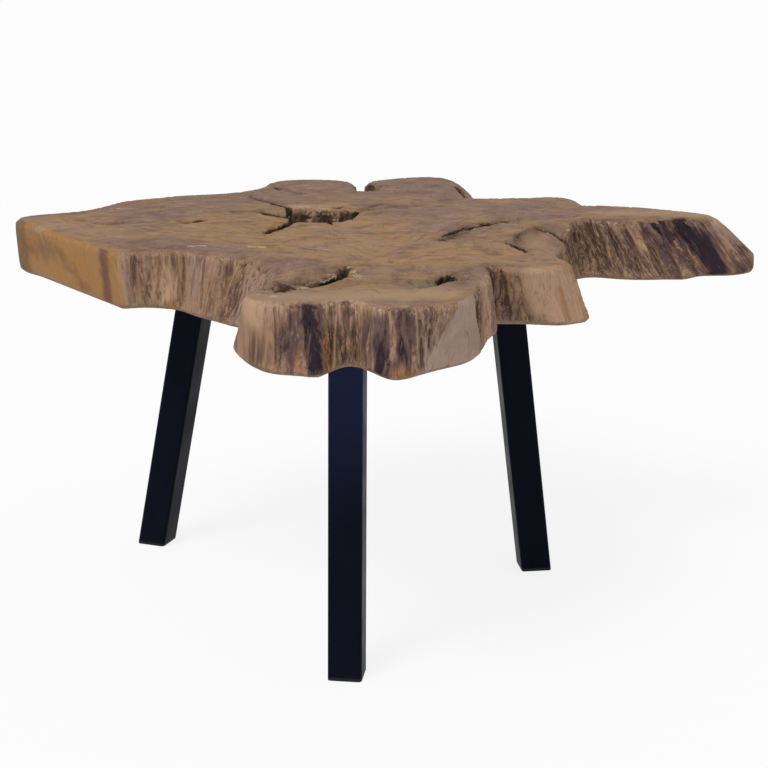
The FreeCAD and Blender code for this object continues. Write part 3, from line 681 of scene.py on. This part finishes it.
def reliefTree(material):
    inputs = {label: "Float" for label in slabRelief}
    inputs["Live Edge"] = "Object"
    g = Growth("liveEdgeRelief", inputs)
    vector = {"data_type": "FLOAT_VECTOR"}
    place = g.node("GeometryNodeInputPosition")
    x, y, z = g.parts(place)
    normal = g.node("GeometryNodeInputNormal")
    facing = g.node("GeometryNodeBlurAttribute", vector, {"Value": normal, "Iterations": 2})
    soft = g.node("GeometryNodeBlurAttribute", vector, {"Value": normal, "Iterations": 8})
    edge = g.node("GeometryNodeObjectInfo", {}, {"Object": g.given("Live Edge")}, out="Geometry")
    rim = g.node("GeometryNodeProximity", {"target_element": "FACES"}, {0: edge}, out="Distance")
    outer = g.ease(rim, 0.014, 0.004)

    # the live edge's own direction near it, and the wall's own direction inside a split
    def fromEdge(name):
        nearest = {"Mesh": edge, "Value": g.read(name, "FLOAT_VECTOR")}
        found = g.node("GeometryNodeSampleNearestSurface", vector, nearest)
        blend = {0: outer, 4: soft, 5: found}
        return g.parts(g.node("ShaderNodeMix", {"data_type": "VECTOR"}, blend, out=1))

    nx, ny = fromEdge("out")[:2]
    ux, uy, slope = fromEdge("lean")
    flat = nx * nx + ny * ny + 0.0001
    # the fibre coordinate follows a fibre back up to the rim, so it hardly changes down the face
    drop = g.given("Top Level") - z
    outward = slope * outer
    slant = g.read("slant", "FLOAT")
    fibreX = x - drop * (ux * outward - uy * slant)
    fibreY = y - drop * (uy * outward + ux * slant)
    fibre = g.join(fibreX, fibreY, drop * slabShape["fibreDrift"])
    shorter = g.join(fibreX, fibreY, drop * slabShape["splinterDrift"])

    lobes = g.noise(fibre, g.given("Lobe Width"), 1.0) - 0.5
    furrows = g.ease(abs(g.noise(fibre, g.given("Furrow Width"), 3.0, 0.6) - 0.5), 0.10, 0.0)
    splinters = g.parts(g.cells(shorter, g.given("Splinter Width")))[0]
    slivers = g.parts(g.cells(shorter, g.given("Splinter Width") * slabShape["sliverShare"]))[1]
    fibres = g.noise(fibre, g.given("Fibre Width"), 2.0) - 0.5
    sawn = g.read("sawn", "FLOAT")
    torn = g.read("torn", "FLOAT")
    steep = g.ease(g.parts(soft)[2], 0.75, 0.35)
    rough = g.maths("MAXIMUM", g.ease(rim, 0.010, 0.0), steep * (0.45 + torn * 0.9)) * (1 - sawn)
    sill = g.ease(z - g.given("Base Level"), 0.0, 0.014)   # calmer towards both arrises
    rough = rough * (0.25 + sill * 0.75) * (0.5 + g.ease(drop, 0.0, 0.014) * 0.5)
    carved = lobes * g.given("Lobe Depth") * 2 + furrows * g.given("Furrow Depth")
    carved = carved + (splinters + slivers * 0.5) * g.given("Splinter Depth")
    carved = carved + fibres * g.given("Fibre Depth")

    swell = (g.noise(place, slabShape["swellWidth"], 2.0) - 0.5) * g.given("Top Swell") * 2
    high = g.ease(z, g.given("Top Level") - 0.045, g.given("Top Level"))
    chips = g.ease(g.noise(place, slabShape["chipWidth"], 2.0), 0.52, 0.68) * g.ease(rim, 0.012, 0.002)
    chips = chips * (1 - sawn) * slabShape["chipDepth"]
    slivered = g.vectors("MULTIPLY", place, (0.40, 1.0, 1.0))
    crumbs = g.ease(g.noise(slivered, g.given("Crumb Width"), 4.0, 0.65), 0.46, 0.60)
    crumbs = crumbs * torn * g.ease(g.parts(soft)[2], 0.30, 0.75)
    gaps = g.ease(g.noise(place, slabShape["checkWidth"], 2.0), 0.35, 0.55)
    checks = g.read("check", "FLOAT") * (0.35 + gaps * 0.65)
    lowered = g.read("sink", "FLOAT") + swell + chips
    lowered = lowered + crumbs * g.given("Crumb Depth") + checks * g.given("Check Depth")
    level = g.maths("SQRT", flat)
    pushed = rough * (g.given("Proud") - carved) + g.read("swell", "FLOAT")
    sideways = g.scaled(g.join(nx / level, ny / level, 0), pushed)
    offset = g.vectors("SUBTRACT", sideways, g.join(0, 0, high * lowered))

    mesh = g.keep(g.given("Geometry"), "fibre", "FLOAT_VECTOR", fibre)
    mesh = g.keep(mesh, "rim", "FLOAT", rim)
    mesh = g.keep(mesh, "facing", "FLOAT", g.parts(facing)[2])
    mesh = g.keep(mesh, "broken", "FLOAT", g.maths("MAXIMUM", crumbs, checks))
    mesh = g.node("GeometryNodeSetPosition", {}, {"Geometry": mesh, "Offset": offset})
    # how deep the finished surface lies under the mean of its surroundings, in millimetres
    mean = g.node("GeometryNodeBlurAttribute", vector, {"Value": place, "Iterations": 14})
    above = g.scaled(g.vectors("SUBTRACT", mean, place), 1000.0)
    mesh = g.keep(mesh, "cavity", "FLOAT", g.measured("DOT_PRODUCT", above, normal))
    return g.close(mesh, material)


def liveEdgeFaces(merged):
    # the outer faces of the slab, reached from its right tip without crossing the top or the underside
    start = max(merged.faces, key=lambda face: face.calc_center_median().x)
    found = {start}
    waiting = [start]
    while waiting:
        for edge in waiting.pop().edges:
            for face in edge.link_faces:
                if face not in found and abs(face.normal.z) < slabShape["level"]:
                    found.add(face)
                    waiting.append(face)
    for face in list(found):
        heights = [vert.co.z for vert in face.verts]
        if max(heights) > slabTop - slabShape["arris"] or min(heights) < slabLow.z + slabShape["arris"]:
            found.discard(face)
    bmesh.ops.delete(merged, geom=[face for face in merged.faces if face not in found], context="FACES")
    merged.normal_update()
    mesh = bpy.data.meshes.new("liveEdge")
    merged.to_mesh(mesh)
    spots = corners(mesh)[:, :2]
    normals = np.array([vert.normal for vert in merged.verts])
    level = normals * (1, 1, 0)
    steep = np.linalg.norm(level, axis=1)
    level /= steep[:, None]
    slope = np.clip(normals[:, 2] / np.maximum(steep, slabShape["flattest"]), -1, 1)
    # how the fibres lean: the wall's direction and slope, evened out over neighbours that face alike
    some = slice(None, None, slabShape["sampling"])
    gaps = np.hypot(*(spots[:, None] - spots[some]).transpose(2, 0, 1))
    alike = np.clip(level @ level[some].T, 0, 1) ** 2
    weights = np.exp(-(gaps / slabShape["evening"]) ** 2) * alike
    lean = weights @ level[some]
    lean /= np.linalg.norm(lean, axis=1)[:, None]
    lean[:, 2] = weights @ slope[some] / weights.sum(axis=1)
    setArrow(mesh, "out", normals)
    setArrow(mesh, "lean", lean)
    return newObject("liveEdge", mesh)


def teakSlab():
    merged = joinedCopy(nodes["teak_slab"])
    mesh = bpy.data.meshes.new("slab")
    merged.to_mesh(mesh)
    edge = liveEdgeFaces(merged)
    merged.free()
    slab = newObject("slab", mesh)
    remesh = slab.modifiers.new("fine", "REMESH")
    remesh.mode = "VOXEL"
    remesh.voxel_size = slabShape["voxel"]
    applied(slab)
    points = corners(slab.data)
    for name, strokes in slabStrokes.items():
        setMark(slab.data, name, np.minimum(brushed(points, strokes), 1))
    grown(slab, reliefTree(teakFinish()), dict(slabRelief, **{"Live Edge": edge}))
    bpy.data.objects.remove(edge)
    thin = slab.modifiers.new("thin", "DECIMATE")
    thin.ratio = slabShape["triangles"] / (2 * len(slab.data.polygons))
    applied(slab)
    points = corners(slab.data)
    for name, strokes in slabMarks.items():
        setMark(slab.data, name, brushed(points, strokes))
    slab.data.shade_smooth()
    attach(slab, "root")
    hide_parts("teak_slab")
    print("slab:", len(slab.data.polygons), "faces")


teakSlab()


# Legs: tubes, plates and foot caps keep their CAD shape; welds and screws are modelled here

sides = ("left", "front", "right")

powderLook = {
    # sheen: a painted reflection, bluish, laid into the legs' colour
    "black": (0.0026, 0.0030, 0.0086), "worn": (0.0040, 0.0046, 0.0120), "sheen": (0.0205, 0.0265, 0.0760),
    "haze": 0.05, "peel": 0.0016, "bump": 0.0006,             # sizes of the patterns
    "sheenHeights": (0.16, 0.36), "sheenFront": (-0.10, -0.20)}   # a painted sheen, a bluish reflection in the colour, grows upwards and to the front
plasticLook = {
    "black": (0.0070, 0.0070, 0.0080), "scuffed": (0.0160, 0.0155, 0.0155),
    "scuff": 0.006, "grain": 0.0007, "bump": 0.0004,
    "sole": 0.003}                # height of the edge that rubs on the floor
zincLook = {
    "bright": (0.56, 0.56, 0.55), "dull": (0.30, 0.295, 0.28),
    "bloom": 0.004, "scratch": 0.0006, "bump": 0.0003}


def powderCoat():
    look = powderLook
    f = Finish("blackPowderCoat")
    place = f.place()
    y, z = f.parts(place)[1:]
    haze = f.noise(place, look["haze"], 4.0)
    # painted sheen: a bluish reflection painted into the colour, higher up and towards the front
    sheen = f.ease(z, *look["sheenHeights"]) * f.ease(y, *look["sheenFront"])
    colour = f.tint(f.ease(haze, 0.35, 0.7) * 0.6, look["black"], look["worn"])
    colour = f.tint(sheen * 0.8, colour, look["sheen"])
    gloss = 0.36 + f.ease(haze, 0.3, 0.7) * 0.12
    bumps = f.bump(f.noise(place, look["peel"], 2.0), 0.12, look["bump"])
    return f.close({"Base Color": colour, "Roughness": gloss, "Normal": bumps, "Specular IOR Level": 0.04})


def footPlastic():
    look = plasticLook
    f = Finish("blackPlastic")
    place = f.place()
    scuffs = f.ease(f.noise(place, look["scuff"], 4.0, 0.7), 0.50, 0.68)
    low = f.ease(f.parts(place)[2], look["sole"], 0.0)
    colour = f.tint(scuffs * (0.25 + low * 0.75), look["black"], look["scuffed"])
    gloss = 0.5 + scuffs * 0.2
    bumps = f.bump(f.noise(place, look["grain"], 2.0), 0.25, look["bump"])
    return f.close({"Base Color": colour, "Roughness": gloss, "Normal": bumps, "Specular IOR Level": 0.2})


def zincPlate():
    look = zincLook
    f = Finish("zincSteel")
    place = f.place()
    bloom = f.ease(f.noise(place, look["bloom"], 4.0, 0.65), 0.40, 0.65)
    colour = f.tint(bloom, look["bright"], look["dull"])
    gloss = 0.28 + bloom * 0.22
    scratch = f.noise(f.vectors("MULTIPLY", place, (1.0, 0.15, 1.0)), look["scratch"], 2.0)
    bumps = f.bump(scratch, 0.15, look["bump"])
    return f.close({"Base Color": colour, "Roughness": gloss, "Normal": bumps, "Metallic": 1.0})


coat = powderCoat()
plastic = footPlastic()
for name, node in nodes.items():
    if name.endswith(("_leg_tube", "_leg_plate")):
        node.material_slots[0].material = coat
    if name.endswith("_foot_cap"):
        node.material_slots[0].material = plastic
print("legs coated")

screwShape = {
    "head": 0.00475, "shank": 0.0025, "edge": 0.0003,   # radii, and the head's softened edge
    "length": 0.033, "tip": 0.006,
    "crossLong": 0.0027, "crossWide": 0.0006, "crossDeep": 0.0017, "crossTaper": 0.55,
    "sides": 28}


def screwMesh():
    # a countersunk screw with a cross recess, its head flat on z = 0 and facing down
    s = screwShape
    built = bmesh.new()
    cone = s["edge"] + s["head"] - s["shank"]
    profile = [(s["head"] - s["edge"], 0), (s["head"], s["edge"]), (s["shank"], cone),
               (s["shank"], s["length"] - s["tip"])]
    turns = [2 * math.pi * i / s["sides"] for i in range(s["sides"])]
    rings = []
    for radius, height in profile:
        rings.append([built.verts.new((radius * math.cos(t), radius * math.sin(t), height)) for t in turns])
    for lower, upper in zip(rings, rings[1:]):
        for i in range(s["sides"]):
            built.faces.new((lower[i - 1], lower[i], upper[i], upper[i - 1]))
    tip = built.verts.new((0, 0, s["length"]))
    for i in range(s["sides"]):
        built.faces.new((rings[-1][i - 1], rings[-1][i], tip))
    mouth = []
    floor = []
    reach = s["crossLong"]
    half = s["crossWide"]
    taper = s["crossTaper"]
    for quarter in range(4):
        turn = Matrix.Rotation(math.radians(90 * quarter), 3, "Z")
        for x, y in ((reach, -half), (reach, half), (half, half)):
            mouth.append(built.verts.new(turn @ Vector((x, y, 0))))
            floor.append(built.verts.new(turn @ Vector((x * taper, y * taper, s["crossDeep"]))))
    for i in range(len(mouth)):
        built.faces.new((mouth[i - 1], mouth[i], floor[i], floor[i - 1]))
    built.faces.new(floor)
    rims = [loop for ring in (rings[0], mouth) for loop in zip(ring[-1:] + ring[:-1], ring)]
    border = [built.edges.get(pair) for pair in rims]
    bmesh.ops.triangle_fill(built, use_beauty=True, edges=border, normal=(0, 0, -1))
    bmesh.ops.recalc_face_normals(built, faces=built.faces)
    mesh = bpy.data.meshes.new("screw")
    built.to_mesh(mesh)
    built.free()
    return mesh


def screwTree(material):
    # one screw on each point, every one driven to its own turn
    g = Growth("plateScrews", {"Screw": "Object", "Seed": "Int"})
    one = g.node("GeometryNodeObjectInfo", {}, {"Object": g.given("Screw")}, out="Geometry")
    turn = g.node("FunctionNodeRandomValue", {}, {2: 0.0, 3: math.pi / 2, "Seed": g.given("Seed")}, out=1)
    driven = g.node("FunctionNodeEulerToRotation", {}, {"Euler": g.join(0, 0, turn)})
    placed = g.node("GeometryNodeInstanceOnPoints", {}, {
        "Points": g.given("Geometry"), "Instance": one, "Rotation": driven})
    return g.close(placed, material)


def looseParts(node):
    # the corners of each separate solid of a node
    merged = joinedCopy(node)
    left = set(merged.verts)
    found = []
    while left:
        waiting = [left.pop()]
        part = []
        while waiting:
            vert = waiting.pop()
            part.append(vert.co.copy())
            near = {edge.other_vert(vert) for edge in vert.link_edges} & left
            left -= near
            waiting.extend(near)
        found.append(part)
    merged.free()
    return found


def plateScrews(side, seed, tree, screw):
    heads = []
    for part in looseParts(nodes[side + "_plate_screws"]):
        level = min(corner.z for corner in part)
        middle = sum(part, Vector()) / len(part)
        heads.append((middle.x, middle.y, level))
    heads.sort()
    mesh = bpy.data.meshes.new(side + "PlateScrews")
    mesh.from_pydata(heads, [], [])
    group = newObject(side + "PlateScrews", mesh)
    grown(group, tree, {"Screw": screw, "Seed": seed})
    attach(group, "root")
    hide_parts(side + "_plate_screws")


screw = newObject("screw", screwMesh())
screws = screwTree(zincPlate())
for seed, side in enumerate(sides):
    plateScrews(side, seed, screws, screw)
bpy.data.objects.remove(screw)
print("screws driven")

weldShape = {
    "Bead": 0.0031,               # radius of the bead
    "Ripple": 0.16, "Pitch": 0.0042,
    "Step": 0.0007,               # spacing of the rings along the bead
    "sides": 14,
    "patch": 0.012,               # size of the uneven places
    "stand": 0.0011}              # how far its middle stands off the tube and the plate


def weldTree(material):
    # a rippled bead along the outline that it is given
    g = Growth("weldBead", {"Bead": "Float", "Ripple": "Float", "Pitch": "Float", "Step": "Float"})
    path = g.node("GeometryNodeMeshToCurve", {}, {"Mesh": g.given("Geometry")})
    steps = {"Curve": path, "Length": g.given("Step")}
    path = g.node("GeometryNodeResampleCurve", {"mode": "LENGTH"}, steps)
    along = g.node("GeometryNodeSplineParameter").out("Length")
    waves = g.maths("SINE", along / g.given("Pitch") * (2 * math.pi))
    uneven = g.noise(g.node("GeometryNodeInputPosition"), weldShape["patch"], 2.0) - 0.5
    width = 1 + (waves * 0.5 + uneven * 1.2) * g.given("Ripple")
    path = g.node("GeometryNodeSetCurveRadius", {}, {"Curve": path, "Radius": width})
    circle = {"Resolution": weldShape["sides"], "Radius": g.given("Bead")}
    section = g.node("GeometryNodeCurvePrimitiveCircle", {}, circle)
    bead = g.node("GeometryNodeCurveToMesh", {}, {"Curve": path, "Profile Curve": section})
    return g.close(bead, material)


def weldBead(side, tree):
    tube = corners(nodes[side + "_leg_tube"].data)
    level = tube[:, 2].max()
    ring = tube[tube[:, 2] > level - 1e-5][:, :2]
    outline = ring[geometry.convex_hull_2d([tuple(point) for point in ring])]
    middle = (outline.min(axis=0) + outline.max(axis=0)) / 2
    away = outline - middle
    outline = outline + away * (weldShape["stand"] / np.linalg.norm(away, axis=1).min())
    count = len(outline)
    mesh = bpy.data.meshes.new(side + "WeldBead")
    places = [(x, y, level - weldShape["stand"]) for x, y in outline]
    mesh.from_pydata(places, [(i, (i + 1) % count) for i in range(count)], [])
    bead = newObject(side + "WeldBead", mesh)
    grown(bead, tree, weldShape)
    bead.data.shade_smooth()
    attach(bead, "root")
    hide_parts(side + "_leg_weld")


beads = weldTree(coat)
for side in sides:
    weldBead(side, beads)
print("welds run")


# Studio: white floor that keeps a faint shadow, white surroundings, soft light

studio = {
    "floorSize": 60.0,
    "floorColour": (0.97, 0.955, 0.975),
    "floorShadow": 0.16,          # share of the floor's own shading that the camera sees
    "skyLight": 0.55,
    "keyFrom": (-1.3, -1.7, 2.6), "keyAngle": 28.0, "keyLight": 1.5}


def seen(f):
    # 1 for rays that show the surroundings: straight, mirrored or passed through
    path = f.node("ShaderNodeLightPath")
    bent = f.maths("MAXIMUM", path.out("Is Glossy Ray"), path.out("Is Transmission Ray"))
    return f.maths("MAXIMUM", path.out("Is Camera Ray"), bent)


def floorFinish():
    f = Finish("studioFloor")
    matt = f.node("ShaderNodeBsdfDiffuse", {}, {"Color": studio["floorColour"]})
    white = f.node("ShaderNodeEmission", {}, {"Color": (1, 1, 1), "Strength": 1.0})
    share = seen(f) * (1 - studio["floorShadow"])
    mixed = f.node("ShaderNodeMixShader", {}, {0: share, 1: matt, 2: white})
    f.node("ShaderNodeOutputMaterial", {}, {"Surface": mixed})
    return f.material


def studioFloor():
    half = studio["floorSize"] / 2
    mesh = bpy.data.meshes.new("floor")
    spots = [(-half, -half, 0), (half, -half, 0), (half, half, 0), (-half, half, 0)]
    mesh.from_pydata(spots, [], [(0, 1, 2, 3)])
    mesh.materials.append(floorFinish())
    floor = newObject("floor", mesh)


def studioSky():
    world = bpy.data.worlds.new("studioSky")
    world.use_nodes = True
    scene.world = world
    g = Graph(world.node_tree)
    strength = studio["skyLight"] + seen(g) * (1 - studio["skyLight"])
    light = g.node("ShaderNodeBackground", {}, {"Color": (1, 1, 1), "Strength": strength})
    g.node("ShaderNodeOutputWorld", {}, {"Surface": light})


def keyLamp():
    lamp = bpy.data.lights.new("key", "SUN")
    lamp.angle = math.radians(studio["keyAngle"])
    lamp.energy = studio["keyLight"]
    key = newObject("key", lamp)
    key.rotation_euler = (-Vector(studio["keyFrom"])).to_track_quat("-Z", "Y").to_euler()


studioFloor()
studioSky()
keyLamp()

view = {
    "place": (-0.0037, -2.13145, 0.8417),
    "down": 15.23,                # degrees below level
    "focal": 1826.14, "picture": 768,   # in pixels
    "sensor": 36.0}               # in millimetres


def photoCamera():
    lens = bpy.data.cameras.new("photoCamera")
    lens.sensor_width = view["sensor"]
    lens.lens = view["focal"] / view["picture"] * view["sensor"]
    camera = newObject("photoCamera", lens)
    camera.location = view["place"]
    camera.rotation_euler = (math.radians(90 - view["down"]), 0, 0)
    scene.camera = camera


photoCamera()
scene.view_settings.view_transform = "Standard"
print("studio ready")
